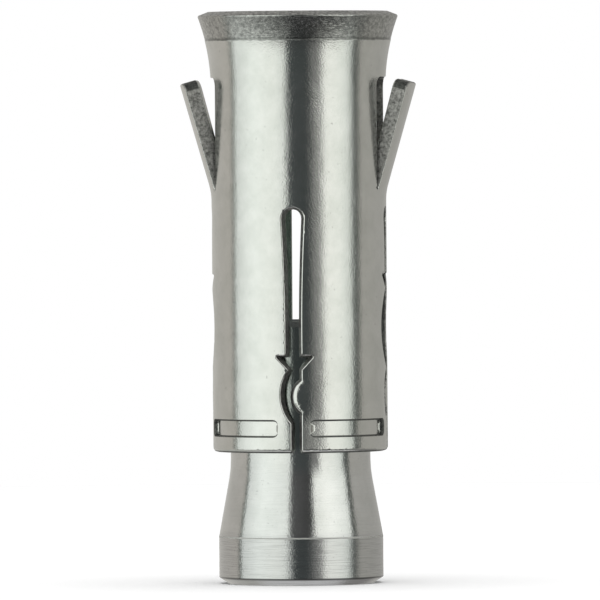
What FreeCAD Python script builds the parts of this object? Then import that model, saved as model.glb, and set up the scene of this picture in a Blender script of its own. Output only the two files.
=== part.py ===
import FreeCAD, Part
import math
import os

# Hollow ceiling anchor: a rolled sheet sleeve with a flared mouth, two barbs and four
# slotted segments, gripping the shank of a cone nut that is drawn into it by the screw.
# Millimetres, +Z towards the mouth, standing on the wide end of the cone, front slot at -Y.

# Whole anchor
overall_length = 52.0
sleeve_length = 40.0

# Sheet and rolled body of the sleeve
sheet_thickness = 1.2
sleeve_radius = 7.95
seam_gap = 1.3
end_edge_chamfer = 0.3
segment_count = 4

# Flared mouth, its bend measured on the outside of the sheet
flare_bend_radius = 18.4
flare_angle = 21.0
rim_chamfer = 0.12

# Barbs lanced out of the sheet just above the side slots
barb_bridge = 0.6
barb_length = 11.2
barb_half_angle = 19.5
barb_tilt = 16.0
barb_bend_radius = 5.3
barb_corner_radius = 0.8
shear_gap = 0.05

# Slots, measured on the outside of the sheet and from the sleeve's lower end
slot_height = 22.2
slot_half_width = 0.7
slot_end_radius = 1.0
slot_waist_half_width = 0.77
slot_waist_share = 0.6
strap_overhang = 0.5

# Arrow notch across each slot
arrow_reach = 1.75
arrow_depth = 1.25
arrow_tip_height = 0.15
arrow_neck_length = 0.05

# Round tab on one edge of each slot and the hollow that faces it
tab_height = 5.1
tab_reach = 0.76
tab_radius = 1.6
hollow_reach = 1.19
hollow_half_height = 2.4
neck_half_width = 0.46

# Lens-shaped window in the two side slots, between the hollow and the arrow
lens_gap = 0.3
lens_half_height = 3.5
lens_reach = 1.9

# Stamped grooves whose ribs grip the shank of the cone
groove_height = 2.22
groove_width = 1.6
groove_half_angle = 31.5
groove_side_slope = 0.08
groove_end_slope = 0.3

# Cone nut
shank_play = 0.4
rib_clearance = 0.02
shank_engagement = 11.9
shank_edge_chamfer = 0.5
taper_gap = 0.7
taper_blend_radius = 10.0
taper_blend_angle = 10.5
base_radius = 7.47
base_height = 4.27
base_chamfer = 0.85

# Metric thread, cut to its minor diameter
thread_diameter = 10.0
thread_pitch = 1.5
thread_minor_ratio = 1.0825
countersink_margin = 0.3

# Worked out from the sizes above
sleeve_bottom = overall_length - sleeve_length
inner_radius = sleeve_radius - sheet_thickness
barb_root = sleeve_bottom + slot_height + barb_bridge
shank_radius = inner_radius - shank_play
rib_radius = shank_radius + rib_clearance
groove_depth = inner_radius - rib_radius
cone_top = sleeve_bottom + shank_engagement
taper_top = sleeve_bottom - taper_gap
bore_radius = (thread_diameter - thread_minor_ratio * thread_pitch) / 2
seam_angle = math.degrees(seam_gap / sleeve_radius)
segment_angle = (360.0 - seam_angle) / segment_count
cut_margin = 1.0
axis_point = FreeCAD.Vector(0, 0, 0)
axis_direction = FreeCAD.Vector(0, 0, 1)


def profile_point(radius, height):
    """Point of a turned or rolled profile, in the XZ plane."""
    return FreeCAD.Vector(radius, 0, height)


def sheet_point(across, height):
    """Point marked on the outside of the sheet, seen from the front and projected flat."""
    return FreeCAD.Vector(sleeve_radius * math.tan(across / sleeve_radius), 0, height)


def trace(path):
    """Edges along a path of points, where a tuple (middle, end) makes an arc."""
    edges = []
    here = path[0]
    for step in path[1:]:
        if isinstance(step, tuple):
            middle, end = step
            edges.append(Part.Arc(here, middle, end).toShape())
        else:
            end = step
            edges.append(Part.LineSegment(here, end).toShape())
        here = end
    return edges


def closed_wire(path):
    """Closed wire along a path, shut by a straight edge unless it ends where it starts."""
    edges = trace(path)
    end = edges[-1].lastVertex().Point
    if not end.isEqual(path[0], 1e-7):
        edges.append(Part.LineSegment(end, path[0]).toShape())
    return Part.Wire(edges)


def turned(path):
    """Solid of revolution about the anchor's axis."""
    return Part.Face(closed_wire(path)).revolve(axis_point, axis_direction, 360)


def tube(inner, outer, bottom, top):
    """Plain ring between two radii and two heights."""
    base = FreeCAD.Vector(0, 0, bottom)
    return Part.makeCylinder(outer, top - bottom, base).cut(Part.makeCylinder(inner, top - bottom, base))


def turned_about_axis(shape, angle):
    """Copy of a shape made at the front, moved round the sleeve."""
    copy = shape.copy()
    copy.rotate(axis_point, axis_direction, angle)
    return copy


def sheet_at(wire, reach):
    """Outline from the sheet's surface, moved towards or away from the axis."""
    projection = FreeCAD.Matrix()
    projection.A11 = reach / sleeve_radius
    projection.A24 = -reach
    return wire.transformGeometry(projection)


def through_sheet(wire, inner, outer):
    """Prism at the front whose sides all point at the axis, between two radii."""
    return Part.makeLoft([sheet_at(wire, inner), sheet_at(wire, outer)], True, True)


def sleeve_wall():
    """Rolled wall with its flared mouth, before anything is punched."""
    flare = math.radians(flare_angle)
    face_drop = rim_chamfer * math.sin(flare)
    flare_start = overall_length + face_drop - (flare_bend_radius + sheet_thickness) * math.sin(flare)
    centre = profile_point(sleeve_radius + flare_bend_radius, flare_start)

    def on_flare(bend_radius, angle):
        return centre + profile_point(-bend_radius * math.cos(angle), bend_radius * math.sin(angle))

    far_bend = flare_bend_radius + sheet_thickness
    near_rim = flare - rim_chamfer / flare_bend_radius
    far_rim = flare - rim_chamfer / far_bend
    return turned([
        profile_point(inner_radius, sleeve_bottom),
        profile_point(sleeve_radius - end_edge_chamfer, sleeve_bottom),
        profile_point(sleeve_radius, sleeve_bottom + end_edge_chamfer),
        profile_point(sleeve_radius, flare_start),
        (on_flare(flare_bend_radius, flare / 2), on_flare(flare_bend_radius, near_rim)),
        on_flare(flare_bend_radius + rim_chamfer, flare),
        on_flare(far_bend - rim_chamfer, flare),
        on_flare(far_bend, far_rim),
        (on_flare(far_bend, flare / 2), profile_point(inner_radius, flare_start)),
    ])


def slot_edge(side, is_side_slot):
    """One edge of a slot from its open end up to its round end; side is -1 left or +1 right."""

    def at(across, height):
        return sheet_point(side * across, sleeve_bottom + height)

    open_end = -cut_margin
    if side > 0:
        half_tab = math.sqrt(tab_radius ** 2 - (tab_radius - tab_reach) ** 2)
        path = [
            at(slot_half_width, open_end),
            at(slot_half_width, tab_height - half_tab),
            (at(slot_half_width - tab_reach, tab_height), at(slot_half_width, tab_height + half_tab)),
        ]
        neck = slot_half_width
    else:
        strap_edge = slot_half_width - strap_overhang
        path = [
            at(strap_edge, open_end),
            at(strap_edge, tab_height - hollow_half_height),
            (at(hollow_reach, tab_height), at(neck_half_width, tab_height + hollow_half_height)),
        ]
        neck = neck_half_width
    neck_height = tab_height + hollow_half_height
    if is_side_slot:
        lens_bottom = neck_height + lens_gap
        neck_height = lens_bottom + 2 * lens_half_height
        path.append(at(neck, lens_bottom))
        path.append((at(lens_reach, lens_bottom + lens_half_height), at(neck, neck_height)))
    neck_height += arrow_neck_length
    arrow_height = neck_height + arrow_depth
    path.append(at(neck, neck_height))
    path.append(at(arrow_reach, arrow_height - arrow_tip_height))
    path.append(at(arrow_reach, arrow_height))
    path.append(at(slot_half_width, arrow_height))
    round_end = slot_height - slot_end_radius
    waist = arrow_height + (round_end - arrow_height) * slot_waist_share
    path.append((at(slot_waist_half_width, waist), at(slot_end_radius, round_end)))
    diagonal = slot_end_radius * math.sqrt(0.5)
    path.append((at(diagonal, round_end + diagonal), at(0, slot_height)))
    return trace(path)


def slot_cutter(is_side_slot):
    """Slot at the front."""
    left = slot_edge(-1, is_side_slot)
    right = slot_edge(1, is_side_slot)
    open_end = Part.LineSegment(left[0].firstVertex().Point, right[0].firstVertex().Point).toShape()
    wire = Part.Wire(Part.sortEdges(left + right + [open_end])[0])
    return through_sheet(wire, inner_radius - cut_margin, sleeve_radius + cut_margin)


def seam_cutter():
    """Open seam of the rolled strip, which was cut off half a slot beyond its last segments."""
    half = seam_gap / 2 + slot_half_width
    bottom = sleeve_bottom - cut_margin
    top = overall_length + cut_margin
    wire = closed_wire([
        sheet_point(-half, bottom), sheet_point(half, bottom),
        sheet_point(half, top), sheet_point(-half, top),
    ])
    return through_sheet(wire, inner_radius - cut_margin, sleeve_radius + 2 * cut_margin)


def tongue_outline(half_width, bottom, top):
    """Outline of a lanced tongue with its two rounded corners at the top."""
    corner = barb_corner_radius
    diagonal = corner * (1 - math.sqrt(0.5))
    return closed_wire([
        sheet_point(-half_width, bottom),
        sheet_point(half_width, bottom),
        sheet_point(half_width, top - corner),
        (sheet_point(half_width - diagonal, top - diagonal), sheet_point(half_width - corner, top)),
        sheet_point(corner - half_width, top),
        (sheet_point(diagonal - half_width, top - diagonal), sheet_point(-half_width, top - corner)),
    ])


def barb_window():
    """Opening that the barb leaves in the wall."""
    half_width = sleeve_radius * math.radians(barb_half_angle)
    wire = tongue_outline(half_width, barb_root, barb_root + barb_length)
    return through_sheet(wire, inner_radius - cut_margin, sleeve_radius + cut_margin)


def barb():
    """Barb at the front: a short bend at its root, then the straight curved tongue."""
    half_width = sleeve_radius * math.radians(barb_half_angle) - shear_gap
    tilt = math.radians(barb_tilt)
    bent_length = (barb_bend_radius + sheet_thickness / 2) * tilt
    wire = tongue_outline(half_width, barb_root + bent_length, barb_root + barb_length - shear_gap)
    wall = tube(inner_radius, sleeve_radius, barb_root, barb_root + barb_length)
    tongue = through_sheet(wire, inner_radius - cut_margin, sleeve_radius + cut_margin).common(wall)
    tongue.translate(FreeCAD.Vector(0, 0, -bent_length))

    half_angle = half_width / sleeve_radius

    def on_section(radius, angle):
        return FreeCAD.Vector(radius * math.sin(angle), -radius * math.cos(angle), barb_root)

    section = closed_wire([
        on_section(sleeve_radius, -half_angle),
        (on_section(sleeve_radius, 0), on_section(sleeve_radius, half_angle)),
        on_section(inner_radius, half_angle),
        (on_section(inner_radius, 0), on_section(inner_radius, -half_angle)),
    ])
    bend_centre = FreeCAD.Vector(0, -sleeve_radius - barb_bend_radius, barb_root)
    bend_axis = FreeCAD.Vector(1, 0, 0)
    bend = Part.Face(section).revolve(bend_centre, bend_axis, barb_tilt)
    tongue.rotate(bend_centre, bend_axis, barb_tilt)
    return bend.fuse(tongue)


def groove_wire(grown):
    """Outline of one groove with its round ends; grown 1 at the surface and 0 at its floor."""
    half_length = sleeve_radius * math.radians(groove_half_angle) + groove_end_slope * (grown - 1)
    middle = sleeve_bottom + groove_height
    half_width = groove_width / 2 + groove_side_slope * (grown - 1)
    return closed_wire([
        sheet_point(half_width - half_length, middle - half_width),
        sheet_point(half_length - half_width, middle - half_width),
        (sheet_point(half_length, middle), sheet_point(half_length - half_width, middle + half_width)),
        sheet_point(half_width - half_length, middle + half_width),
        (sheet_point(-half_length, middle), sheet_point(half_width - half_length, middle - half_width)),
    ])


def groove_cutter():
    """Groove at the front, with sloping walls and a floor that follows the sheet."""
    below = sheet_at(groove_wire(-1), sleeve_radius - 2 * groove_depth)
    above = sheet_at(groove_wire(2), sleeve_radius + groove_depth)
    floor = sleeve_radius - groove_depth
    bottom = sleeve_bottom + groove_height - groove_width
    ring = tube(floor, sleeve_radius + cut_margin, bottom, bottom + 2 * groove_width)
    return Part.makeLoft([below, above], True, True).common(ring)


def grip_rib():
    """Rib that the stamping raises on the inside of the sheet, against the cone's shank."""
    half_length = sleeve_radius * math.radians(groove_half_angle) - groove_end_slope
    half_width = groove_width / 2 - groove_side_slope
    middle = sleeve_bottom + groove_height
    wire = closed_wire([
        sheet_point(-half_length, middle - half_width), sheet_point(half_length, middle - half_width),
        sheet_point(half_length, middle + half_width), sheet_point(-half_length, middle + half_width),
    ])
    prism = through_sheet(wire, rib_radius - cut_margin, sleeve_radius)
    bottom = middle - groove_width
    return prism.common(tube(rib_radius, inner_radius + groove_depth / 2, bottom, bottom + 2 * groove_width))


def expansion_sleeve():
    """The one-piece sleeve."""
    sleeve = sleeve_wall()
    groove = groove_cutter()
    rib = grip_rib()
    for index in range(segment_count):
        angle = 180 + seam_angle / 2 + (index + 0.5) * segment_angle
        sleeve = sleeve.fuse(turned_about_axis(rib, angle))
        sleeve = sleeve.cut(turned_about_axis(groove, angle))

    sleeve = sleeve.cut(slot_cutter(False))
    sleeve = sleeve.cut(turned_about_axis(seam_cutter(), 180))
    side_slot = slot_cutter(True)
    for side in (-1, 1):
        angle = side * segment_angle
        sleeve = sleeve.cut(turned_about_axis(side_slot, angle))
        sleeve = sleeve.cut(turned_about_axis(barb_window(), angle))
        sleeve = sleeve.fuse(turned_about_axis(barb(), angle))
    return sleeve.removeSplitter()


def threaded_cone():
    """The turned cone nut with its tapped bore."""
    shank_end = profile_point(shank_radius, taper_top)
    blend_centre = shank_end + profile_point(taper_blend_radius, 0)

    def on_blend(angle):
        turn = math.radians(angle)
        return blend_centre - profile_point(math.cos(turn), math.sin(turn)) * taper_blend_radius

    cone = turned([
        profile_point(0, 0),
        profile_point(base_radius - base_chamfer, 0),
        profile_point(base_radius, base_chamfer),
        profile_point(base_radius, base_height),
        on_blend(taper_blend_angle),
        (on_blend(taper_blend_angle / 2), shank_end),
        profile_point(shank_radius, cone_top - shank_edge_chamfer),
        profile_point(shank_radius - shank_edge_chamfer, cone_top),
        profile_point(0, cone_top),
    ])

    countersink_radius = thread_diameter / 2 + countersink_margin
    countersink_depth = countersink_radius - bore_radius
    bore = turned([
        profile_point(0, -cut_margin),
        profile_point(countersink_radius + cut_margin, -cut_margin),
        profile_point(bore_radius, countersink_depth),
        profile_point(bore_radius, cone_top - countersink_depth),
        profile_point(countersink_radius + cut_margin, cone_top + cut_margin),
        profile_point(0, cone_top + cut_margin),
    ])
    return cone.cut(bore)


def write_parts():
    """Write each piece as one file, named after its node."""
    os.makedirs("parts", exist_ok=True)
    pieces = {
        "expansion_sleeve": expansion_sleeve(),
        "threaded_cone": threaded_cone(),
    }
    for name, shape in pieces.items():
        shape.exportStep("parts/" + name + ".step")
        print(name, "solids", len(shape.Solids), "valid", shape.isValid(), "volume", round(shape.Volume, 1))


write_parts()
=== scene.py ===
import bpy
import math
import numpy as np
from mathutils import Matrix, Vector
from mathutils.geometry import delaunay_2d_cdt


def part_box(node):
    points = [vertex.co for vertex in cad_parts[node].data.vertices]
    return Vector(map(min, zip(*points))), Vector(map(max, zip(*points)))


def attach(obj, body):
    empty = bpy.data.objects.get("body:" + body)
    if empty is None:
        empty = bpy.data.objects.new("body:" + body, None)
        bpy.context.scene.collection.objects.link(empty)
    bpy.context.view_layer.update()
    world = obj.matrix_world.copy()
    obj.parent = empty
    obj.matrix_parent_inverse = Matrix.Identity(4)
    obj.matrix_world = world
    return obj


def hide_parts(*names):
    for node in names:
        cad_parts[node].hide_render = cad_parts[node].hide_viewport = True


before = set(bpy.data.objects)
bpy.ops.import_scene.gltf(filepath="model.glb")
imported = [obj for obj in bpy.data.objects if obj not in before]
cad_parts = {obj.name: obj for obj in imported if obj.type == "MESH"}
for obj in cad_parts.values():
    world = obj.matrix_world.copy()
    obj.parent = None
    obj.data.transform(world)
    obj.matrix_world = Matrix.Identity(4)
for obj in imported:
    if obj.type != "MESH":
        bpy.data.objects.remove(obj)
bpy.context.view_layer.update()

MM = 0.001

# Camera: a long lens, almost level with the object and a little to the right of the front slot
camera_azimuth = 4.3
camera_pitch_down = 0.84
camera_roll = -0.4
camera_distance = 1.027
camera_target = Vector((0.00004, 0, 0.02574))
sensor_width = 36.0
focal_length = 677.0
clip_near = 0.01
clip_far = 20.0

# Studio walls, seen only in reflections: angle from the lens, leftwards negative, and level
walls_radius = 0.9
walls_height = 2.4
walls_sides = 96
ceiling_level = 0.16
# The ground under the walls has a painted shadow of the object at its middle
ground_shadow_level = 0.3
ground_pale_level = 0.75
wall_bands = [
    (-180, (0.60, 0.59, 0.56)),
    (-100, (0.64, 0.61, 0.56)),
    (-97, (0.13, 0.15, 0.13)),
    (-95, (0.13, 0.15, 0.13)),
    (-92, (1.00, 1.04, 1.00)),
    (-62, (1.36, 1.42, 1.35)),
    (-36, (1.32, 1.36, 1.28)),
    (-18, (1.12, 1.16, 1.10)),
    (-14, (0.09, 0.10, 0.10)),
    (12, (0.07, 0.08, 0.08)),
    (19, (0.26, 0.26, 0.25)),
    (29, (0.33, 0.33, 0.32)),
    (34, (1.32, 1.33, 1.25)),
    (56, (1.26, 1.29, 1.21)),
    (72, (0.93, 0.98, 0.92)),
    (76, (0.12, 0.13, 0.12)),
    (84, (0.12, 0.13, 0.12)),
    (88, (0.52, 0.51, 0.47)),
    (180, (0.46, 0.45, 0.43)),
]
# The same for the low part of the walls, under the soft boxes
low_bands = [
    (-180, (0.58, 0.57, 0.54)),
    (-90, (0.56, 0.57, 0.54)),
    (-60, (0.45, 0.46, 0.44)),
    (-36, (0.20, 0.21, 0.20)),
    (-14, (0.05, 0.05, 0.05)),
    (50, (0.04, 0.04, 0.04)),
    (80, (0.25, 0.25, 0.24)),
    (180, (0.32, 0.31, 0.30)),
]
# The same for the high part, where the right soft box is wider
high_bands = [
    (-180, (0.53, 0.52, 0.50)),
    (-100, (0.57, 0.55, 0.51)),
    (-97, (0.13, 0.15, 0.13)),
    (-95, (0.13, 0.15, 0.13)),
    (-92, (1.00, 1.04, 1.00)),
    (-62, (1.36, 1.42, 1.35)),
    (-20, (1.20, 1.24, 1.18)),
    (-15, (0.13, 0.13, 0.13)),
    (14, (0.07, 0.07, 0.07)),
    (17, (0.10, 0.10, 0.10)),
    (22, (1.30, 1.32, 1.24)),
    (50, (1.48, 1.50, 1.42)),
    (77, (1.25, 1.28, 1.22)),
    (81, (0.07, 0.08, 0.07)),
    (86, (0.07, 0.08, 0.07)),
    (89, (0.54, 0.53, 0.50)),
    (180, (0.46, 0.45, 0.43)),
]
box_foot_angle = -23.5
box_foot_spread = 3.0
high_angle = 10.0
high_spread = 7.0
ground_angle = -49.0
ground_spread = 4.0
# Painted shadow on the ground: dark out to the first radius, pale from the second
ground_shadow_radius = 0.25
ground_pale_radius = 0.42

# Floor and light
floor_radius = 0.36
floor_fade_start = 0.07
floor_colour = (0.93, 0.93, 0.93, 1)
floor_sides = 64
top_light_size = 0.8
top_light_height = 1.0
top_light_power = 6.0
world_level = 0.62

# Sheet and rolled body of the sleeve, in millimetres, as in the model of the part
sheet_thickness = 1.2
sleeve_radius = 7.95
seam_gap = 1.3
segment_count = 4
flare_bend_radius = 18.4
flare_angle = 21.0
rim_chamfer = 0.12

# Barbs
barb_bridge = 0.6
barb_length = 11.2
barb_half_angle = 19.5
barb_tilt = 15.95
barb_bend_radius = 5.3
barb_corner_radius = 0.8
shear_gap = 0.05
slit_rise = 1.0
slit_blend = 0.8

# Slots
slot_height = 22.2
slot_half_width = 0.7
slot_end_radius = 1.0
slot_waist_half_width = 0.77
slot_waist_share = 0.6
strap_overhang = 0.5
arrow_reach = 1.75
arrow_depth = 1.25
arrow_tip_height = 0.15
arrow_neck_length = 0.05
left_arrow_trim = 0.2
tab_height = 5.1
tab_reach = 0.95
tab_radius = 1.6
hollow_reach = 1.19
hollow_half_height = 2.4
neck_half_width = 0.46
lens_gap = 0.3
lens_half_height = 3.5
lens_reach = 1.9
foot_lift = 0.25
foot_lift_reach = 2.8
foot_lift_top = 4.5
foot_lift_fade = 2.5

# Grooves
groove_height = 2.22
groove_width = 1.6
groove_depth = 0.38
groove_half_angle = 33.3
groove_corner_radius = 0.5
groove_side_slope = 0.145
groove_end_slope = 0.16
groove_wall_power = 1.6

# Cone nut
shank_radius = 6.35
shank_edge_chamfer = 0.5
taper_gap = 0.7
taper_blend_radius = 10.0
taper_blend_angle = 10.5
base_height = 4.27
base_chamfer = 0.87
base_chamfer_height = 0.55
ridge_half_width = 0.06
# Half width of a painted dark reflection line at the top of the base chamfer
foot_reflection_half_width = 0.09
thread_diameter = 10.0
thread_pitch = 1.5
thread_minor_ratio = 1.0825
thread_crest_flat = 0.25
thread_root_flat = 0.125
countersink_margin = 0.3
mouth_lip = 0.3
mouth_edge_radius = 0.05
foot_edge_radius = 0.12
chamfer_edge_radius = 0.15
base_edge_radius = 0.25
shank_edge_radius = 0.1
bore_radius = (thread_diameter - thread_minor_ratio * thread_pitch) / 2
countersink_radius = thread_diameter / 2 + countersink_margin
countersink_depth = countersink_radius - bore_radius

# Edges and marks that only the visible sleeve has
cut_edge_radius = 0.15
tab_edge_radius = 0.6
window_edge_radius = 0.05
inner_edge_radius = 0.13
end_edge_radius = 0.42
torn_share = 0.36
window_margin = 1.0
cut_taper = 0.17
barb_tip_swell = 0.25
tool_line_height = 49.35
tool_line_width = 0.1
tool_line_depth = 0.03
# Share of a groove's width past which its walls get painted shade
painted_shade_share = 0.3

# Place of each finish in the sleeve's list: plain sheet, torn faces and dark faces with painted shade
sheet_slot = 0
torn_slot = 1
painted_shade_slot = 2

# Colours of the zinc, of the marks on it, and of painted shade and a painted reflection line
zinc_pale = (0.61, 0.615, 0.60, 1)
zinc_stained = (0.545, 0.555, 0.535, 1)
speck_colour = (0.25, 0.25, 0.24, 1)
speck_strength = 0.35
rim_pale = (0.52, 0.525, 0.51, 1)
rim_dark = (0.2, 0.205, 0.2, 1)
tool_line_colour = (0.08, 0.085, 0.08, 1)
tool_line_strength = 0.55
inner_colour = (0.65, 0.7, 0.67, 1)
torn_pale = (0.46, 0.455, 0.435, 1)
torn_dark = (0.11, 0.11, 0.105, 1)
torn_metallic = 0.7
# Painted shade: dark colours on groove walls, the sleeve's foot edge, barb tips and side slot faces
painted_shade_pale = (0.13, 0.134, 0.124, 1)
painted_shade_dark = (0.042, 0.044, 0.042, 1)
painted_shade_metallic = 0.6
turned_pale = (0.61, 0.615, 0.61, 1)
turned_stained = (0.55, 0.56, 0.55, 1)
base_colour = (0.53, 0.535, 0.535, 1)
pit_colour = (0.2, 0.2, 0.2, 1)
streak_colour = (0.22, 0.22, 0.22, 1)
ridge_colour = (0.6, 0.6, 0.59, 1)
ridge_rough = 0.75
# Painted reflection: a dark line on the rounded top edge of the base chamfer
foot_reflection_colour = (0.06, 0.06, 0.06, 1)
foot_reflection_strength = 0.8
# Painted shade on the cone where the sleeve covers it
sleeve_shade_colour = (0.34, 0.36, 0.345, 1)

# Where the finish changes, in millimetres
rim_waver = 0.3
rim_fade = 0.1
tool_stain_start = 0.15
tool_stain_end = 0.3
inner_tint_start = 0.7
inner_tint_full = 0.9
inner_tint_fade = 1.0
base_tint_above = 0.6
base_tint_below = 0.2
# Where the painted shade inside the sleeve starts and how soft its edge is
sleeve_shade_rise = 0.3
sleeve_shade_fade = 0.8

# Fineness of the meshes
cone_columns = 128
thread_rows = 12
profile_turn_step = math.radians(6)
edge_pitch = 0.35
column_pitch = 0.42
row_pitch = 0.5
groove_corner_steps = 4
lean_sine_limit = 0.9
slope_step = 0.004
tiny = 1e-6
block_size = 1000

# Mesh points beside the cuts and round the grooves, most as shares of an edge radius or a slope
cut_edge_shares = (torn_share, 1.0)
end_edge_shares = (0.12, torn_share, 1.0)
groove_side_shares = (0.5, 1.0)
groove_end_shares = (0.7, 1.0)
groove_rim_margin = 0.01
groove_clear = 0.15
grid_clear = 1.3
edge_clear = 0.9
torn_reach = 0.9
tool_line_rows = (-1.5, -0.5, 0.5, 1.5)

# Worked out from the frame and the sizes above
sleeve_low, sleeve_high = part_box("expansion_sleeve")
sleeve_bottom = sleeve_low.z / MM
sleeve_top = sleeve_high.z / MM
barb_root = sleeve_bottom + slot_height + barb_bridge
segment_width = (2 * math.pi * sleeve_radius - seam_gap) / segment_count
tab_half_height = math.sqrt(tab_radius ** 2 - (tab_radius - tab_reach) ** 2)
half_blank = segment_width * segment_count / 2 - slot_half_width
flare = math.radians(flare_angle)
flare_start = (
    sleeve_top + rim_chamfer * math.sin(flare) - (flare_bend_radius + sheet_thickness) * math.sin(flare)
)
blank_top = flare_start + flare_bend_radius * math.sin(flare)
barb_half_width = sleeve_radius * math.radians(barb_half_angle)
groove_half_length = sleeve_radius * math.radians(groove_half_angle)
barb_bent_length = (barb_bend_radius + sheet_thickness / 2) * math.radians(barb_tilt)


def clear_default_scene():
    """Remove the cube, lamp and camera that a new file may hold."""
    for name in ("Cube", "Light", "Camera"):
        spare = bpy.data.objects.get(name)
        if spare is not None:
            bpy.data.objects.remove(spare)


class Graph:
    """Node graph of a material or world, where a socket given as an input is linked."""

    def __init__(self, tree):
        self.tree = tree
        tree.nodes.clear()

    def add(self, kind, inputs=None, **settings):
        node = self.tree.nodes.new(kind)
        for name, value in settings.items():
            setattr(node, name, value)
        for key, value in (inputs or {}).items():
            if isinstance(value, bpy.types.NodeSocket):
                self.tree.links.new(value, node.inputs[key])
            else:
                node.inputs[key].default_value = value
        return node

    def math(self, operation, first, second=0.0, third=0.0):
        node = self.add("ShaderNodeMath", {0: first, 1: second, 2: third}, operation=operation)
        return node.outputs[0]

    def range(self, value, low, high, to_low=0.0, to_high=1.0):
        inputs = {"Value": value, "From Min": low, "From Max": high, "To Min": to_low, "To Max": to_high}
        return self.add("ShaderNodeMapRange", inputs).outputs["Result"]

    def mix(self, factor, first, second):
        node = self.add("ShaderNodeMix", {"Factor": factor}, data_type="RGBA")
        for index, value in ((6, first), (7, second)):
            if isinstance(value, bpy.types.NodeSocket):
                self.tree.links.new(value, node.inputs[index])
            else:
                node.inputs[index].default_value = value
        return node.outputs[2]


def grey(level):
    """Neutral colour."""
    return (level, level, level, 1)


def new_graph(name):
    """Material with an empty graph."""
    material = bpy.data.materials.new(name)
    material.use_nodes = True
    return material, Graph(material.node_tree)


def millimetres(graph):
    """Position on the piece in millimetres, as a vector and as its three parts."""
    place = graph.add("ShaderNodeTexCoord").outputs["Object"]
    scaled = graph.add("ShaderNodeVectorMath", {0: place, 3: 1 / MM}, operation="SCALE").outputs[0]
    parts = graph.add("ShaderNodeSeparateXYZ", {0: scaled}).outputs
    return scaled, parts


def noise(graph, vector, scale, detail=3.0, roughness=0.5, stretch=(1, 1, 1)):
    """Value of a noise, with features about one over the scale wide."""
    mapped = graph.add("ShaderNodeMapping", {"Vector": vector, "Scale": stretch}).outputs[0]
    inputs = {"Vector": mapped, "Scale": scale, "Detail": detail, "Roughness": roughness}
    return graph.add("ShaderNodeTexNoise", inputs).outputs["Fac"]


def bumped(graph, heights):
    """Normal bent by several heights in turn, each with its depth in millimetres."""
    normal = None
    for height, depth in heights:
        inputs = {"Height": height, "Distance": depth * MM, "Strength": 1.0}
        if normal is not None:
            inputs["Normal"] = normal
        normal = graph.add("ShaderNodeBump", inputs).outputs[0]
    return normal


def metal_surface(graph, colour, rough, normal, metallic=1.0):
    """Metal shader at the end of a graph."""
    shader = graph.add("ShaderNodeBsdfPrincipled", {
        "Base Color": colour, "Metallic": metallic, "Roughness": rough, "Normal": normal,
    })
    graph.add("ShaderNodeOutputMaterial", {"Surface": shader.outputs[0]})


def ring_mark(graph, height, level, half_width):
    """1 on a thin ring at a level, fading out beside it."""
    distance = graph.math("ABSOLUTE", graph.math("SUBTRACT", height, level))
    return graph.range(distance, half_width / 2, half_width * 1.5, 1, 0)


def above(graph, height, level, width):
    """0 below a level and 1 above it, over a short width."""
    return graph.range(height, level - width / 2, level + width / 2)


def plated_sheet():
    """Bright zinc plating on rolled sheet, with a rough streaky band at the flared rim."""
    material, graph = new_graph("plated_sheet")
    place, parts = millimetres(graph)
    waves = noise(graph, place, 1.1, 2.0, 0.5, (1, 1, 0.6))
    pebbles = noise(graph, place, 7.0, 1.5, 0.5, (1, 1, 1.5))
    stains = noise(graph, place, 0.5, 4.0, 0.6)
    specks = graph.range(noise(graph, place, 2.6, 2.0, 0.5), 0.71, 0.76)
    streaks = noise(graph, place, 2.2, 4.0, 0.7, (0.55, 0.55, 4.0))
    mottle = noise(graph, place, 3.2, 4.0, 0.7)

    plain = graph.mix(graph.range(stains, 0.35, 0.7), zinc_pale, zinc_stained)
    plain = graph.mix(graph.math("MULTIPLY", specks, speck_strength), plain, speck_colour)
    dull = graph.mix(graph.range(mottle, 0.34, 0.68), rim_pale, rim_dark)
    uneven = graph.math("MULTIPLY_ADD", streaks, rim_waver, -rim_waver / 2)
    level = graph.math("ADD", parts[2], uneven)
    band = above(graph, level, tool_line_height, rim_fade)
    stain_start = tool_line_height + tool_stain_start
    low_part = graph.range(level, stain_start, tool_line_height + tool_stain_end, 1, 0)
    line = graph.math("MULTIPLY", band, low_part)
    colour = graph.mix(band, plain, dull)
    colour = graph.mix(graph.math("MULTIPLY", line, tool_line_strength), colour, tool_line_colour)
    across = graph.math("POWER", parts[0], 2.0)
    away = graph.math("SQRT", graph.math("ADD", across, graph.math("POWER", parts[1], 2.0)))
    within = graph.range(away, sleeve_radius - inner_tint_start, sleeve_radius - inner_tint_full)
    under_flare = graph.range(parts[2], flare_start, flare_start - inner_tint_fade)
    colour = graph.mix(graph.math("MULTIPLY", within, under_flare), colour, inner_colour)
    plain_rough = graph.range(pebbles, 0.3, 0.7, 0.09, 0.14)
    dull_rough = graph.range(mottle, 0.3, 0.7, 0.13, 0.21)
    rough = graph.add("ShaderNodeMix", {0: band, 2: plain_rough, 3: dull_rough}).outputs[0]
    banded = graph.math("MULTIPLY", streaks, band)
    normal = bumped(graph, [(waves, 0.011), (pebbles, 0.013), (banded, 0.02)])
    metal_surface(graph, colour, rough, normal)
    return material


def sheared_metal(name, pale, dark, metallic):
    """Torn face left by the punch: rough, mottled and scored through the sheet; given dark colours it is
    painted shade.
    """
    material, graph = new_graph(name)
    place = millimetres(graph)[0]
    mottle = noise(graph, place, 3.4, 5.0, 0.7)
    tears = noise(graph, place, 7.0, 3.0, 0.6, (1, 1, 0.6))
    colour = graph.mix(graph.range(mottle, 0.36, 0.64), pale, dark)
    rough = graph.range(tears, 0.3, 0.7, 0.3, 0.5)
    normal = bumped(graph, [(mottle, 0.04), (tears, 0.014)])
    metal_surface(graph, colour, rough, normal, metallic)
    return material


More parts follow.
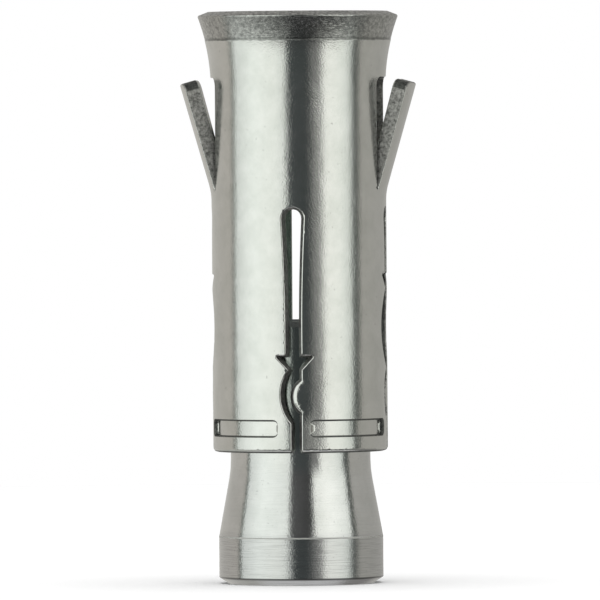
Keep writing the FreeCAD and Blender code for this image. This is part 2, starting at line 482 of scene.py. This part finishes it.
def plated_turned():
    """Bright zinc plating over fine turning lines, with pits, painted shade inside the sleeve and a painted
    dark reflection line at the foot chamfer.
    """
    material, graph = new_graph("plated_turned")
    place, parts = millimetres(graph)
    waves = noise(graph, place, 1.0, 2.0, 0.5)
    pebbles = noise(graph, place, 7.0, 1.5, 0.5)
    rings = noise(graph, place, 5.0, 3.0, 0.6, (0.08, 0.08, 3.0))
    stains = noise(graph, place, 0.5, 4.0, 0.6)
    pits = graph.range(noise(graph, place, 4.5, 1.0, 0.5), 0.72, 0.77)
    base = graph.range(parts[2], base_height + base_tint_above, base_height - base_tint_below)
    colour = graph.mix(graph.range(stains, 0.35, 0.7), turned_pale, turned_stained)
    colour = graph.mix(base, colour, base_colour)
    colour = graph.mix(graph.math("MULTIPLY", pits, speck_strength), colour, pit_colour)
    streaks = graph.range(noise(graph, place, 5.0, 3.0, 0.7, (0.07, 0.07, 4.0)), 0.48, 0.68)
    streaks = graph.math("MULTIPLY", streaks, graph.math("MULTIPLY_ADD", base, 0.35, 0.1))
    colour = graph.mix(streaks, colour, streak_colour)
    ridge = ring_mark(graph, parts[2], base_height, ridge_half_width)
    colour = graph.mix(ridge, colour, ridge_colour)
    # Painted reflection: a dark line at the top of the base chamfer
    foot = ring_mark(graph, parts[2], base_chamfer_height, foot_reflection_half_width)
    colour = graph.mix(graph.math("MULTIPLY", foot, foot_reflection_strength), colour, foot_reflection_colour)
    # Painted shade on the shank inside the sleeve
    sleeve_shade = above(graph, parts[2], sleeve_bottom + sleeve_shade_rise, sleeve_shade_fade)
    colour = graph.mix(sleeve_shade, colour, sleeve_shade_colour)
    rough = graph.range(pebbles, 0.3, 0.7, 0.09, 0.14)
    rough = graph.add("ShaderNodeMix", {0: ridge, 2: rough, 3: ridge_rough}).outputs[0]
    lines = graph.math("MULTIPLY", rings, graph.math("MULTIPLY_ADD", base, 0.8, 0.2))
    normal = bumped(graph, [(waves, 0.008), (pebbles, 0.008), (lines, 0.01)])
    metal_surface(graph, colour, rough, normal)
    return material


def add_object(name, vertices, faces, *materials):
    """Mesh object from lists of places and faces."""
    mesh = bpy.data.meshes.new(name)
    mesh.from_pydata(vertices, [], faces)
    for material in materials:
        mesh.materials.append(material)
    item = bpy.data.objects.new(name, mesh)
    bpy.context.scene.collection.objects.link(item)
    return item


def arc_points(start, middle, end):
    """Points along the arc through three points, without its start."""
    (ax, ay), (bx, by), (cx, cy) = start, middle, end
    a2, b2, c2 = ax * ax + ay * ay, bx * bx + by * by, cx * cx + cy * cy
    spread = 2 * (ax * (by - cy) + bx * (cy - ay) + cx * (ay - by))
    centre_x = (a2 * (by - cy) + b2 * (cy - ay) + c2 * (ay - by)) / spread
    centre_y = (a2 * (cx - bx) + b2 * (ax - cx) + c2 * (bx - ax)) / spread
    radius = math.hypot(ax - centre_x, ay - centre_y)
    first = math.atan2(ay - centre_y, ax - centre_x)
    to_middle = (math.atan2(by - centre_y, bx - centre_x) - first) % (2 * math.pi)
    sweep = (math.atan2(cy - centre_y, cx - centre_x) - first) % (2 * math.pi)
    if to_middle > sweep:
        sweep -= 2 * math.pi
    steps = max(3, math.ceil(abs(sweep) * radius / edge_pitch))
    turns = [first + sweep * (index + 1) / steps for index in range(steps)]
    return [(centre_x + radius * math.cos(turn), centre_y + radius * math.sin(turn)) for turn in turns]


def trace(path):
    """Points along a path, where a list [middle, end] makes an arc."""
    points = [path[0]]
    for step in path[1:]:
        if isinstance(step, list):
            points += arc_points(points[-1], step[0], step[1])
        else:
            points.append(step)
    return points


def slot_edge(centre, side, is_side_slot):
    """One edge of a slot from its open end up to its round end; side is -1 left or +1 right."""

    def at(across, height):
        return (centre + side * across, sleeve_bottom + height)

    if side > 0:
        path = [
            at(slot_half_width, 0),
            at(slot_half_width, tab_height - tab_half_height),
            [at(slot_half_width - tab_reach, tab_height), at(slot_half_width, tab_height + tab_half_height)],
        ]
        neck = slot_half_width
        reach = arrow_reach
    else:
        strap_edge = slot_half_width - strap_overhang
        path = [
            at(strap_edge, 0),
            at(strap_edge, tab_height - hollow_half_height),
            [at(hollow_reach, tab_height), at(neck_half_width, tab_height + hollow_half_height)],
        ]
        neck = neck_half_width
        reach = arrow_reach - left_arrow_trim
    neck_height = tab_height + hollow_half_height
    if is_side_slot:
        lens_bottom = neck_height + lens_gap
        neck_height = lens_bottom + 2 * lens_half_height
        path.append(at(neck, lens_bottom))
        path.append([at(lens_reach, lens_bottom + lens_half_height), at(neck, neck_height)])
    neck_height += arrow_neck_length
    arrow_height = neck_height + arrow_depth
    path.append(at(neck, neck_height))
    path.append(at(reach, arrow_height - arrow_tip_height))
    path.append(at(reach, arrow_height))
    path.append(at(slot_half_width, arrow_height))
    round_end = slot_height - slot_end_radius
    waist = arrow_height + (round_end - arrow_height) * slot_waist_share
    path.append([at(slot_waist_half_width, waist), at(slot_end_radius, round_end)])
    diagonal = slot_end_radius * math.sqrt(0.5)
    path.append([at(diagonal, round_end + diagonal), at(0, slot_height)])
    return trace(path)


def blank_outline():
    """Edge of the flat blank: its notched lower edge, its two seam edges and its rim."""
    points = [(-half_blank, blank_top), (-half_blank, sleeve_bottom)]
    for index in range(1, segment_count):
        centre = (index - segment_count / 2) * segment_width
        is_side_slot = index != segment_count // 2
        points += slot_edge(centre, -1, is_side_slot)
        points += list(reversed(slot_edge(centre, 1, is_side_slot)))[1:]
    return points + [(half_blank, sleeve_bottom), (half_blank, blank_top)]


def barb_outline(centre, inset, foot):
    """Outline of a barb from one foot to the other, inset from its window."""
    half_width = barb_half_width - inset
    top = barb_root + barb_length - inset
    corner = barb_corner_radius
    diagonal = corner * (1 - math.sqrt(0.5))
    return trace([
        (centre - half_width, foot),
        (centre - half_width, top - corner),
        [(centre + diagonal - half_width, top - diagonal), (centre + corner - half_width, top)],
        (centre + half_width - corner, top),
        [(centre + half_width - diagonal, top - diagonal), (centre + half_width, top - corner)],
        (centre + half_width, foot),
    ])


def lanced_cut(centre):
    """Thin cut that frees a barb on three sides."""
    foot = barb_root + slit_rise
    return barb_outline(centre, 0, foot) + list(reversed(barb_outline(centre, shear_gap, foot)))


def sampled(loop):
    """Points along a closed outline at the edge pitch, with outward directions."""
    points = []
    starts = np.array(loop)
    ends = np.roll(starts, -1, axis=0)
    for start, end in zip(starts, ends):
        steps = max(1, math.ceil(np.linalg.norm(end - start) / edge_pitch))
        points += [start + (end - start) * index / steps for index in range(steps)]
    points = np.array(points)
    along = np.roll(points, -1, axis=0) - points
    along /= np.linalg.norm(along, axis=1)[:, None]
    mean = along + np.roll(along, 1, axis=0)
    mean /= np.linalg.norm(mean, axis=1)[:, None]
    return points, np.stack([mean[:, 1], -mean[:, 0]], axis=1)


def distance_to(points, starts, ends):
    """Distance from each point to the nearest straight edge, and the direction away from it."""
    nearest = np.zeros(len(points))
    away = np.zeros((len(points), 2))
    along = ends - starts
    length = (along ** 2).sum(axis=1)
    for first in range(0, len(points), block_size):
        block = points[first:first + block_size, None, :] - starts[None]
        share = np.clip((block[..., 0] * along[:, 0] + block[..., 1] * along[:, 1]) / length, 0, 1)
        gap = block - share[..., None] * along[None]
        squared = gap[..., 0] ** 2 + gap[..., 1] ** 2
        best = squared.argmin(axis=1)
        rows = np.arange(len(best))
        distance = np.sqrt(squared[rows, best])
        nearest[first:first + block_size] = distance
        away[first:first + block_size] = gap[rows, best] / np.maximum(distance, slope_step)[:, None]
    return nearest, away


def inside(points, starts, ends):
    """Whether each point lies in the sheet, by counting the edges to its right."""
    found = np.zeros(len(points), bool)
    for first in range(0, len(points), block_size):
        x = points[first:first + block_size, 0, None]
        y = points[first:first + block_size, 1, None]
        spans = (starts[None, :, 1] > y) != (ends[None, :, 1] > y)
        rise = ends[:, 1] - starts[:, 1]
        rise[rise == 0] = 1
        crossing = starts[None, :, 0] + (y - starts[None, :, 1]) / rise * (ends - starts)[None, :, 0]
        found[first:first + block_size] = (spans & (crossing > x)).sum(axis=1) % 2 == 1
    return found


def smooth(value):
    """Soft step from 0 to 1."""
    value = np.clip(value, 0, 1)
    return value * value * (3 - 2 * value)


def edge_drop(distance, radius):
    """How far a rounded edge falls away at a distance from the cut."""
    reach = np.clip(radius - distance, 0, radius)
    return radius - np.sqrt(radius ** 2 - reach ** 2)


def edge_radius(points, centre):
    """Radius of the rounded outer edge of the cut nearest to each point."""
    near_tab = np.clip(1 - ((points[:, 1] - sleeve_bottom - tab_height) / tab_half_height) ** 2, 0, 1)
    beside = np.abs((points[:, 0] + segment_width / 2) % segment_width - segment_width / 2 - tab_radius / 2)
    near_tab = near_tab * (beside < tab_radius)
    radius = cut_edge_radius + (tab_edge_radius - cut_edge_radius) * near_tab
    across = np.abs(np.abs(points[:, 0]) - segment_width)
    at_window = (across < barb_half_width + window_margin) & (points[:, 1] > barb_root)
    at_window &= (points[:, 1] < barb_root + barb_length + window_margin) & np.isnan(centre)
    return np.where(at_window, window_edge_radius, radius)


def groove_centres():
    """Middle of each groove along the blank."""
    return [(index + 0.5 - segment_count / 2) * segment_width for index in range(segment_count)]


def groove_inset(points):
    """How far each point lies inside the outline of a groove, and how wide the slope is there."""
    inset = np.full(len(points), -np.inf)
    slope = np.full(len(points), groove_side_slope)
    rise = np.abs(points[:, 1] - sleeve_bottom - groove_height) - groove_width / 2 + groove_corner_radius
    for centre in groove_centres():
        past = np.abs(points[:, 0] - centre) - groove_half_length + groove_corner_radius
        outside = np.hypot(np.maximum(past, 0), np.maximum(rise, 0))
        here = groove_corner_radius - outside - np.minimum(np.maximum(past, rise), 0)
        turned = np.arctan2(np.maximum(past, 0), np.maximum(rise, tiny)) / (math.pi / 2)
        at_end = np.where(np.maximum(past, rise) > 0, turned, past > rise)
        width = groove_side_slope + (groove_end_slope - groove_side_slope) * at_end
        slope = np.where(here > inset, width, slope)
        inset = np.maximum(inset, here)
    return inset, slope


def groove_ring(centre, inset):
    """Points along the outline of a groove, moved inwards."""
    corner = max(groove_corner_radius - inset, groove_rim_margin)
    across = groove_half_length - inset - corner
    rise = groove_width / 2 - inset - corner
    points = []
    for quarter in range(4):
        side = 1 if quarter in (0, 3) else -1
        lift = 1 if quarter < 2 else -1
        for step in range(groove_corner_steps + 1):
            angle = (quarter + step / groove_corner_steps) * math.pi / 2
            points.append((side * across + corner * math.cos(angle), lift * rise + corner * math.sin(angle)))
    ring = []
    for start, end in zip(points, points[1:] + points[:1]):
        steps = max(1, math.ceil(math.dist(start, end) / column_pitch))
        for step in range(steps):
            share = step / steps
            ring.append((
                centre + start[0] + (end[0] - start[0]) * share,
                sleeve_bottom + groove_height + start[1] + (end[1] - start[1]) * share,
            ))
    return ring


def groove_share(points):
    """0 on the plain sheet and 1 on the floor of a groove."""
    inset, slope = groove_inset(points)
    return np.clip(inset / slope, 0, 1) ** groove_wall_power


def barb_centre(points):
    """Middle of the barb that each point belongs to, or not a number."""
    centre = np.full(len(points), np.nan)
    for side in (-1, 1):
        outline = np.array(barb_outline(side * segment_width, shear_gap / 2, barb_root))
        centre[inside(points, outline, np.roll(outline, -1, axis=0))] = side * segment_width
    return centre


def rolled_wall(points, depth):
    """Place in space of points on the rolled and flared wall, at a depth below its outer face."""
    across, height = points[:, 0], points[:, 1]
    turn = across / sleeve_radius
    lean = np.arcsin(np.clip((height - flare_start) / flare_bend_radius, 0, lean_sine_limit))
    bend = flare_bend_radius + depth
    flared = height > flare_start
    radius = np.where(flared, sleeve_radius + flare_bend_radius - bend * np.cos(lean), sleeve_radius - depth)
    level = np.where(flared, flare_start + bend * np.sin(lean), height)
    spread = np.clip(1 - across / foot_lift_reach, 0, 1) ** 2 * (across > 0)
    below = smooth((sleeve_bottom + foot_lift_top - height) / foot_lift_fade)
    radius = radius + foot_lift * spread * below
    return np.stack([radius * np.sin(turn), -radius * np.cos(turn), level], axis=1)


def bent_barb(points, depth, middle):
    """Place in space of points on a barb bent out from its root, at a depth below its outer face."""
    turn = (points[:, 0] - middle) / sleeve_radius
    along = points[:, 1] - barb_root
    bent = math.radians(barb_tilt) * np.clip(along / barb_bent_length, 0, 1)
    rise = np.maximum(along - barb_bent_length, 0)
    side = (sleeve_radius - depth) * np.sin(turn)
    back = sleeve_radius + barb_bend_radius - (sleeve_radius - depth) * np.cos(turn)
    forward = back * np.cos(bent) - rise * np.sin(bent) - sleeve_radius - barb_bend_radius
    level = barb_root + back * np.sin(bent) + rise * np.cos(bent)
    face = middle / sleeve_radius
    return np.stack([
        side * np.cos(face) - forward * np.sin(face),
        side * np.sin(face) + forward * np.cos(face),
        level,
    ], axis=1)


def rolled(points, depth, centre):
    """Place in space of points on the blank: on the wall, or blended from it into a bent barb."""
    is_barb = ~np.isnan(centre)
    middle = np.where(is_barb, centre, 0)
    from_slit = barb_half_width - np.abs(points[:, 0] - middle)
    share = smooth(from_slit / slit_blend + (points[:, 1] - barb_root) / slit_rise)
    share = np.where(is_barb, share, 0)[:, None]
    return bent_barb(points, depth, middle) * share + rolled_wall(points, depth) * (1 - share)


def sleeve_points(loops, starts, ends):
    """Points inside the blank: beside its edges, round its grooves and on a grid."""
    beside = []
    for points, outward in loops:
        radius = edge_radius(points, barb_centre(points - outward * shear_gap))[:, None]
        for share in cut_edge_shares:
            beside.append(points - outward * radius * share)
        at_end = points[:, 1] < sleeve_bottom + tiny
        for share in end_edge_shares:
            beside.append((points - outward * end_edge_radius * share)[at_end])
    beside = np.concatenate(beside)

    round_groove = []
    for centre in groove_centres():
        insets = [-groove_rim_margin]
        insets += [groove_side_slope * share for share in groove_side_shares]
        insets += [groove_end_slope * share for share in groove_end_shares]
        for inset in insets:
            round_groove += groove_ring(centre, inset)
    round_groove = np.array(round_groove)

    columns = np.arange(-half_blank, half_blank, column_pitch)
    rows = np.concatenate([
        np.arange(sleeve_bottom, blank_top, row_pitch),
        tool_line_height + tool_line_width * np.array(tool_line_rows),
    ])
    grid = np.stack([axis.ravel() for axis in np.meshgrid(columns, rows)], axis=1)
    inset = groove_inset(grid)[0]
    grid = grid[(inset < -groove_clear) | (inset > groove_end_slope + groove_clear)]
    extra = np.concatenate([round_groove, grid])
    extra = extra[distance_to(extra, starts, ends)[0] > cut_edge_radius * grid_clear]
    beside = beside[distance_to(beside, starts, ends)[0] > window_edge_radius * edge_clear]
    kept = np.concatenate([beside, extra])
    return kept[inside(kept, starts, ends)]


class Blank:
    """Flat mesh of the sleeve's sheet, with how far each of its points lies from the cuts."""

    def __init__(self):
        outlines = [blank_outline()] + [lanced_cut(side * segment_width) for side in (-1, 1)]
        loops = [sampled(outline) for outline in outlines]
        starts = np.concatenate([points for points, outward in loops])
        ends = np.concatenate([np.roll(points, -1, axis=0) for points, outward in loops])
        outward = np.concatenate([outward for points, outward in loops])
        lines = []
        first = 0
        for count in [len(points) for points, outward in loops]:
            lines += [(first + index, first + (index + 1) % count) for index in range(count)]
            first += count

        given = np.concatenate([starts, sleeve_points(loops, starts, ends)])
        result = delaunay_2d_cdt([Vector(point) for point in given], lines, [], 0, tiny)
        self.flat = np.array([tuple(point) for point in result[0]])
        faces = np.array([tuple(face) for face in result[2]])
        self.faces = faces[inside(self.flat[faces].mean(axis=1), starts, ends)]
        origin = [min(sources) if sources else -1 for sources in result[3]]
        self.on_edge = np.array([0 <= source < len(starts) for source in origin])
        self.outward = np.array([
            outward[source] if on_edge else (1, 0) for source, on_edge in zip(origin, self.on_edge)
        ])
        found = {source: index for index, source in enumerate(origin) if self.on_edge[index]}
        self.cut_lines = [(found[a], found[b]) for a, b in lines]

        self.centre = barb_centre(self.flat)
        self.radius = edge_radius(self.flat, self.centre)
        self.near, self.from_edge = distance_to(self.flat, starts, ends)
        at_bottom = (starts[:, 1] < sleeve_bottom + tiny) & (ends[:, 1] < sleeve_bottom + tiny)
        self.low, self.from_bottom = distance_to(self.flat, starts[at_bottom], ends[at_bottom])
        height = self.flat[:, 1]
        self.at_slot = self.on_edge & (height > sleeve_bottom + slope_step) & (height < barb_root)

    def outer_depth(self, step):
        """Depth of the outer face, a small step away from each point."""
        drop = np.maximum(
            edge_drop(self.near + self.from_edge @ step, self.radius),
            edge_drop(self.low + self.from_bottom @ step, end_edge_radius),
        )
        line = smooth((self.flat[:, 1] + step[1] - tool_line_height) / tool_line_width)
        return drop + groove_depth * groove_share(self.flat + step) + tool_line_depth * line

    def inner_depth(self, step):
        """Depth of the inner face, a small step away from each point."""
        drop = edge_drop(self.near + self.from_edge @ step, inner_edge_radius)
        share = np.clip((self.flat[:, 1] + step[1] - barb_root) / barb_length, 0, 1)
        swell = barb_tip_swell * np.where(np.isnan(self.centre), 0, share)
        return sheet_thickness - drop + groove_depth * groove_share(self.flat + step) + swell

    def slopes(self, depth_of):
        """Normals of a face, from its places a small step to each side."""
        across = np.array([slope_step, 0])
        along = np.array([0, slope_step])
        steps = (across, -across, along, -along)
        places = [rolled(self.flat + step, depth_of(step), self.centre) for step in steps]
        normal = np.cross(places[0] - places[1], places[2] - places[3])
        return normal / np.linalg.norm(normal, axis=1)[:, None]

    def layer(self, depth_of, sign):
        """Places and normals of one face of the sheet; sign is 1 outside and -1 inside."""
        tapered = self.at_slot & (np.abs(self.flat[:, 0]) < half_blank - slope_step) & (sign < 0)
        shifted = self.flat + self.outward * (cut_taper * tapered)[:, None]
        depth = depth_of(np.zeros(2))
        place = rolled(shifted, depth, self.centre)
        beyond = rolled(shifted + self.outward * slope_step, depth, self.centre) - place
        beyond /= np.linalg.norm(beyond, axis=1)[:, None]
        return place, np.where(self.on_edge[:, None], beyond, self.slopes(depth_of) * sign)

    def outer_finishes(self):
        """Finish of each outer face: torn beside the cuts, painted shade on groove walls and at the foot."""
        torn_width = torn_reach * torn_share * self.radius[self.faces].min(axis=1)
        torn = self.near[self.faces].mean(axis=1) < torn_width
        middle = self.flat[self.faces].mean(axis=1)
        inset = groove_inset(middle)[0]
        level = np.abs(middle[:, 1] - sleeve_bottom - groove_height)
        groove_centre = (np.floor(middle[:, 0] / segment_width) + 0.5) * segment_width
        past = np.abs(middle[:, 0]) - np.abs(groove_centre)
        at_far_end = past > groove_half_length - groove_corner_radius
        at_wall = (level > painted_shade_share * groove_width) | at_far_end
        # Groove walls and the foot edge get painted shade
        shaded_faces = (inset > 0) & (inset < groove_side_slope) & at_wall
        shaded_faces |= self.low[self.faces].mean(axis=1) < torn_share * end_edge_radius
        return np.where(shaded_faces, painted_shade_slot, np.where(torn, torn_slot, sheet_slot)).tolist()

    def cut_finishes(self):
        """Finish of each cut face: painted shade at the barbs' tips and in the side slots, torn elsewhere.
        """
        tip_height = barb_root + barb_length - barb_corner_radius - 2 * shear_gap
        dark = (self.flat[:, 1] > tip_height) & ~np.isnan(self.centre)
        dark |= self.at_slot & (np.abs(np.abs(self.flat[:, 0]) - segment_width) < segment_width / 2)
        return [painted_shade_slot if dark[a] and dark[b] else torn_slot for a, b in self.cut_lines]


def expansion_sleeve():
    """Rolled sleeve made from its flat blank, with rounded cut edges and bent barbs."""
    blank = Blank()
    count = len(blank.flat)
    polygons = [tuple(face) for face in blank.faces]
    polygons += [(a + count, c + count, b + count) for a, b, c in blank.faces]
    polygons += [(b, a, a + count, b + count) for a, b in blank.cut_lines]
    finishes = blank.outer_finishes() + [sheet_slot] * len(blank.faces) + blank.cut_finishes()

    outer_places, outer_normals = blank.layer(blank.outer_depth, 1)
    inner_places, inner_normals = blank.layer(blank.inner_depth, -1)
    places = np.concatenate([outer_places, inner_places]) * MM
    piece = add_object("rolled_sleeve", places, polygons, *sleeve_finishes)
    mesh = piece.data
    for polygon, finish in zip(mesh.polygons, finishes):
        polygon.use_smooth = True
        polygon.material_index = finish
    normals = np.concatenate([outer_normals, inner_normals])
    mesh.normals_split_custom_set_from_vertices(normals.tolist())
    mesh.validate()
    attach(piece, "root")
    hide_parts("expansion_sleeve")
    return piece


def rounded_profile(corners):
    """Points and outward directions along a turned profile, each corner rounded to its radius."""
    places = [Vector(corner[:2]) for corner in corners]
    points = []
    directions = []
    for index in range(1, len(corners) - 1):
        before = (places[index] - places[index - 1]).normalized()
        after = (places[index + 1] - places[index]).normalized()
        turn = before.angle_signed(after)
        radius = corners[index][2]
        setback = radius * math.tan(abs(turn) / 2)
        start = places[index] - before * setback
        steps = max(1, math.ceil(abs(turn) / profile_turn_step))
        side = Vector((before.y, -before.x)) if turn > 0 else Vector((-before.y, before.x))
        centre = start + side * radius
        for step in range(steps + 1):
            angle = turn * step / steps
            cosine, sine = math.cos(angle), math.sin(-angle)
            away = -side
            away = Vector((away.x * cosine - away.y * sine, away.x * sine + away.y * cosine))
            points.append(centre + away * radius)
            directions.append(away if turn < 0 else -away)
    return points, directions


def thread_radius(share):
    """Radius of the internal thread over one turn, from crest round to crest."""
    flank = (1 - thread_crest_flat - thread_root_flat) / 2
    into = min(share, 1 - share) - thread_crest_flat / 2
    depth = min(max(into / flank, 0), 1)
    return bore_radius + (thread_diameter / 2 - bore_radius) * depth


def cone_corners(top, base_radius):
    """Corners of the cone's outer profile, from its lower mouth round to its upper one, with radii."""
    blend_angle = math.radians(taper_blend_angle)
    blend_corner = sleeve_bottom - taper_gap - taper_blend_radius * math.tan(blend_angle / 2)
    return [
        (countersink_radius - mouth_lip, 0, 0),
        (countersink_radius, 0, mouth_edge_radius),
        (base_radius - base_chamfer, 0, foot_edge_radius),
        (base_radius, base_chamfer_height, chamfer_edge_radius),
        (base_radius, base_height, base_edge_radius),
        (shank_radius, blend_corner, taper_blend_radius),
        (shank_radius, top - shank_edge_chamfer, shank_edge_radius),
        (shank_radius - shank_edge_chamfer, top, shank_edge_radius),
        (countersink_radius, top, mouth_edge_radius),
        (countersink_radius - mouth_lip, top, 0),
    ]


def threaded_cone():
    """Turned cone nut: a rounded outer profile and a helical thread in its bore."""
    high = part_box("threaded_cone")[1]
    top = high.z / MM
    points, directions = rounded_profile(cone_corners(top, high.x / MM))
    around = [2 * math.pi * column / cone_columns for column in range(cone_columns)]
    vertices = []
    normals = []
    for point, direction in zip(points, directions):
        for angle in around:
            vertices.append((point.x * math.cos(angle), point.x * math.sin(angle), point.y))
            normals.append((direction.x * math.cos(angle), direction.x * math.sin(angle), direction.y))
    rows = len(points)
    bore_rows = math.ceil(top / thread_pitch * thread_rows)
    for row in range(1, bore_rows):
        level = top * (1 - row / bore_rows)
        mouth = bore_radius + max(0, countersink_depth - level, countersink_depth - (top - level))
        for column, angle in enumerate(around):
            share = (level / thread_pitch - column / cone_columns) % 1
            radius = max(mouth, thread_radius(share))
            vertices.append((radius * math.cos(angle), radius * math.sin(angle), level))
            normals.append((-math.cos(angle), -math.sin(angle), 0))
    faces = []
    total = rows + bore_rows - 1
    for row in range(total):
        following_row = (row + 1) % total
        for column in range(cone_columns):
            following = (column + 1) % cone_columns
            faces.append((
                row * cone_columns + column, row * cone_columns + following,
                following_row * cone_columns + following, following_row * cone_columns + column,
            ))
    scaled = [tuple(value * MM for value in vertex) for vertex in vertices]
    piece = add_object("turned_cone", scaled, faces, cone_finish)
    mesh = piece.data
    custom = [Vector() for loop in mesh.loops]
    for polygon in mesh.polygons:
        polygon.use_smooth = polygon.index < (rows - 1) * cone_columns
        for loop in polygon.loop_indices:
            corner = mesh.loops[loop].vertex_index
            custom[loop] = normals[corner] if polygon.use_smooth else (0, 0, 0)
    mesh.normals_split_custom_set(custom)
    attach(piece, "root")
    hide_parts("threaded_cone")
    return piece


def band_ramp(graph, turn, bands):
    """Colour round the walls, from a list of angles and levels."""
    ramp = graph.add("ShaderNodeValToRGB", {"Fac": turn})
    stops = ramp.color_ramp.elements
    for index, (degrees, level) in enumerate(bands):
        position = (degrees + 180) / 360
        stop = stops[index] if index < 2 else stops.new(position)
        stop.position = position
        stop.color = (*level, 1)
    return ramp.outputs[0]


def over_angle(graph, height, angle, spread):
    """0 under an angle above the horizon and 1 over it, from the height on the walls."""
    levels = [walls_radius * math.tan(math.radians(angle + side * spread)) for side in (-1, 1)]
    return graph.range(height, *levels)


def studio_walls():
    """Round wall of soft boxes and dark cards, visible to reflections only, with a painted shadow on its
    ground.
    """
    material, graph = new_graph("studio_walls")
    place = graph.add("ShaderNodeTexCoord").outputs["Object"]
    parts = graph.add("ShaderNodeSeparateXYZ", {0: place}).outputs
    angle = graph.math("ARCTAN2", parts[0], graph.math("MULTIPLY", parts[1], -1.0))
    turn = graph.range(angle, -math.pi, math.pi)
    low, plain, high = [band_ramp(graph, turn, bands) for bands in (low_bands, wall_bands, high_bands)]
    colour = graph.mix(over_angle(graph, parts[2], box_foot_angle, box_foot_spread), low, plain)
    colour = graph.mix(over_angle(graph, parts[2], high_angle, high_spread), colour, high)
    over_ground = over_angle(graph, parts[2], ground_angle, ground_spread)
    colour = graph.mix(over_ground, grey(ground_pale_level), colour)
    edge = walls_height / 2 - MM
    colour = graph.mix(graph.math("GREATER_THAN", parts[2], edge), colour, grey(ceiling_level))
    # Ground: a painted shadow of the object at its middle, paler further out
    flat = graph.add("ShaderNodeVectorMath", {0: place, 1: (1, 1, 0)}, operation="MULTIPLY").outputs[0]
    away = graph.add("ShaderNodeVectorMath", {0: flat}, operation="LENGTH").outputs["Value"]
    away = graph.range(away, ground_shadow_radius, ground_pale_radius)
    ground = graph.mix(away, grey(ground_shadow_level), grey(ground_pale_level))
    colour = graph.mix(graph.math("LESS_THAN", parts[2], -edge), colour, ground)
    emission = graph.add("ShaderNodeEmission", {"Color": colour, "Strength": 1.0})
    graph.add("ShaderNodeOutputMaterial", {"Surface": emission.outputs[0]})

    half = walls_height / 2
    vertices = []
    faces = [tuple(range(0, 2 * walls_sides, 2)), tuple(range(1, 2 * walls_sides, 2))]
    for index in range(walls_sides):
        turn = 2 * math.pi * index / walls_sides
        across = walls_radius * math.cos(turn)
        along = walls_radius * math.sin(turn)
        vertices += [(across, along, -half), (across, along, half)]
        following = (index + 1) % walls_sides
        faces.append((2 * index, 2 * following, 2 * following + 1, 2 * index + 1))
    walls = add_object("studio_walls", vertices, faces, material)
    walls.rotation_euler = (0, 0, math.radians(camera_azimuth))
    walls.visible_camera = False
    walls.visible_diffuse = False
    walls.visible_shadow = False
    walls.visible_transmission = False


def studio_floor():
    """Plain pale floor that fades into the white background."""
    material, graph = new_graph("studio_floor")
    place = graph.add("ShaderNodeTexCoord").outputs["Object"]
    distance = graph.add("ShaderNodeVectorMath", {0: place}, operation="LENGTH").outputs["Value"]
    fade = graph.range(distance, floor_fade_start, floor_radius)
    matt = graph.add("ShaderNodeBsdfDiffuse", {"Color": floor_colour}).outputs[0]
    clear = graph.add("ShaderNodeBsdfTransparent").outputs[0]
    surface = graph.add("ShaderNodeMixShader", {0: fade, 1: matt, 2: clear})
    graph.add("ShaderNodeOutputMaterial", {"Surface": surface.outputs[0]})
    vertices = []
    for index in range(floor_sides):
        turn = 2 * math.pi * index / floor_sides
        vertices.append((floor_radius * math.cos(turn), floor_radius * math.sin(turn), 0))
    floor = add_object("studio_floor", vertices, [tuple(range(floor_sides))], material)
    floor.visible_glossy = False


def studio_light():
    """Soft light from above and an even pale world."""
    lamp = bpy.data.lights.new("top_light", "AREA")
    lamp.shape = "DISK"
    lamp.size = top_light_size
    lamp.energy = top_light_power
    holder = bpy.data.objects.new("top_light", lamp)
    holder.location = (0, 0, top_light_height)
    holder.visible_glossy = False
    bpy.context.scene.collection.objects.link(holder)

    world = bpy.data.worlds.new("studio_world")
    bpy.context.scene.world = world
    world.use_nodes = True
    graph = Graph(world.node_tree)
    path = graph.add("ShaderNodeLightPath").outputs
    seen = graph.math("MAXIMUM", path["Is Camera Ray"], path["Is Glossy Ray"])
    seen = graph.math("MAXIMUM", seen, path["Is Transmission Ray"])
    level = graph.range(seen, 0, 1, world_level, 1.0)
    background = graph.add("ShaderNodeBackground", {"Color": (1, 1, 1, 1), "Strength": level})
    graph.add("ShaderNodeOutputWorld", {"Surface": background.outputs[0]})


def studio_camera():
    """Long lens camera, turned and tilted as the sizes at the top say."""
    data = bpy.data.cameras.new("main_camera")
    data.sensor_width = sensor_width
    data.lens = focal_length
    data.clip_start = clip_near
    data.clip_end = clip_far
    camera = bpy.data.objects.new("main_camera", data)
    azimuth = math.radians(camera_azimuth)
    pitch = math.radians(camera_pitch_down)
    turn = Matrix.Rotation(azimuth, 4, "Z") @ Matrix.Rotation(math.pi / 2 - pitch, 4, "X")
    turn = turn @ Matrix.Rotation(math.radians(camera_roll), 4, "Z")
    backwards = turn.to_3x3() @ Vector((0, 0, 1))
    camera.matrix_world = Matrix.Translation(camera_target + backwards * camera_distance) @ turn
    bpy.context.scene.collection.objects.link(camera)
    bpy.context.scene.camera = camera


clear_default_scene()
sleeve_finishes = (
    plated_sheet(),
    sheared_metal("sheared_edge", torn_pale, torn_dark, torn_metallic),
    # Painted shade for groove walls, the foot edge, barb tips and side slot faces
    sheared_metal("painted_shade_faces", painted_shade_pale, painted_shade_dark, painted_shade_metallic),
)
cone_finish = plated_turned()
expansion_sleeve()
threaded_cone()
studio_walls()
studio_floor()
studio_light()
studio_camera()
bpy.context.scene.view_settings.view_transform = "Standard"
